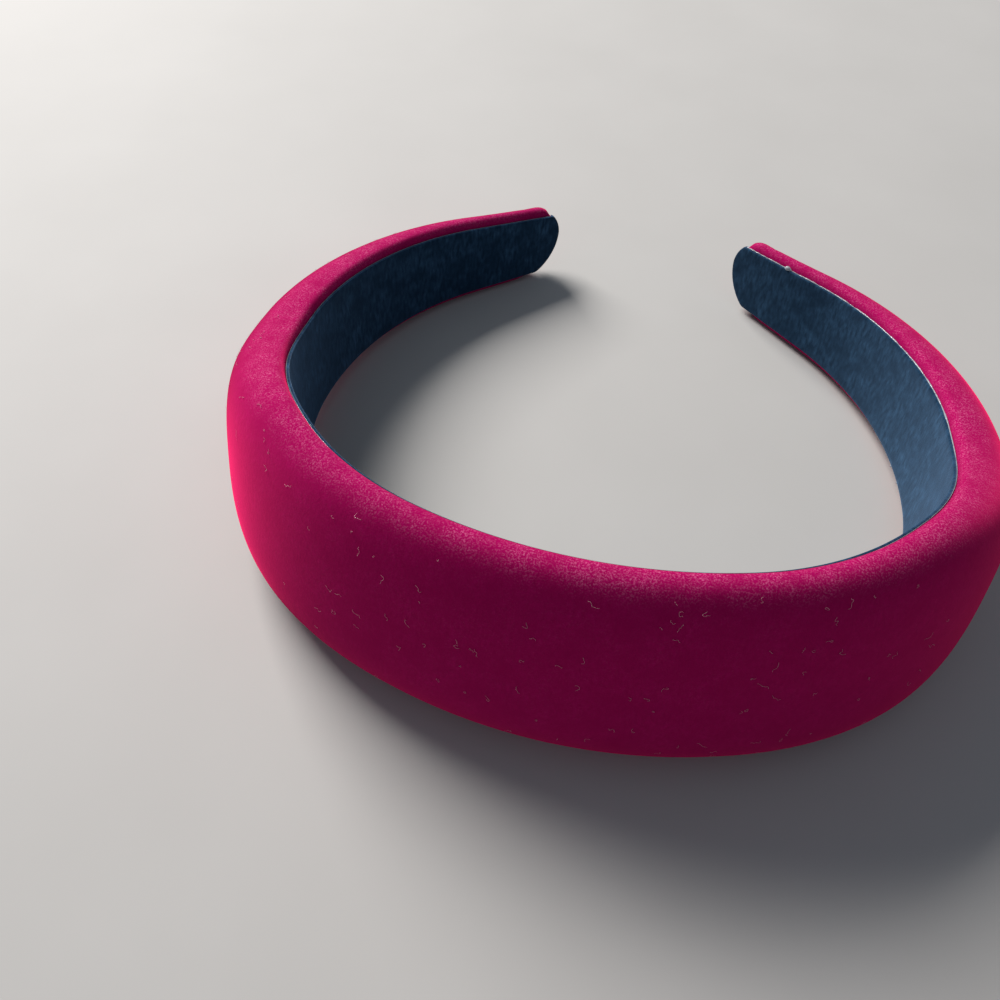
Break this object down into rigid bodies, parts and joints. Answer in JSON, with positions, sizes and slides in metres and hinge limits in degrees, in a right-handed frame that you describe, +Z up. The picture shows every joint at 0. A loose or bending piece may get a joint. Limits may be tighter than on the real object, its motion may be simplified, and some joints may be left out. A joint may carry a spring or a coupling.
{
  "type": "padded velvet hair hoop",
  "caption": "Padded Alice-style headband: a sprung C-shaped hoop with a crowned foam pad, wrapped in red velvet and lined with black velvet ribbon.",
  "frame": {"origin": "on the surface that the band rests on, under the middle of its bounding box", "axes": "+Z up from the resting surface; -Y towards the crown, the wide padded middle of the band; +Y towards the two open tips; +X towards the arm on the right when the band is seen from the crown side"},
  "size_m": [0.1552, 0.1414, 0.0462],
  "materials": {
    "velvet_red": "matte",
    "velvet_black": "matte",
    "foam_sponge": "matte",
    "hoop_plastic": "satin",
    "tape_film": "gloss",
    "hot_glue": "gloss"
  },
  "bodies": {
    "right_half": {"hoop_core_right": "hoop_plastic", "foam_tape_right": "tape_film", "foam_pad_right": "foam_sponge", "velvet_cover_right": "velvet_red", "hem_glue_upper_right": "hot_glue", "hem_glue_lower_right": "hot_glue", "lining_glue_right": "hot_glue", "lining_right": "velvet_black", "edge_bead_upper_right": "hot_glue", "edge_bead_lower_right": "hot_glue"},
    "left_half": {"hoop_core_left": "hoop_plastic", "foam_tape_left": "tape_film", "foam_pad_left": "foam_sponge", "velvet_cover_left": "velvet_red", "hem_glue_upper_left": "hot_glue", "hem_glue_lower_left": "hot_glue", "lining_glue_left": "hot_glue", "lining_left": "velvet_black", "edge_bead_upper_left": "hot_glue", "edge_bead_lower_left": "hot_glue"}
  },
  "joints": [
    {"name": "hoop_flex", "type": "hinge", "parent": "right_half", "child": "left_half", "pos_m": [0, -0.07022, 0.02557], "axis": [0, 0.1216, 0.9926], "range_deg": [0, 22], "stiffness_Nm_per_rad": 1.4}
  ]
}
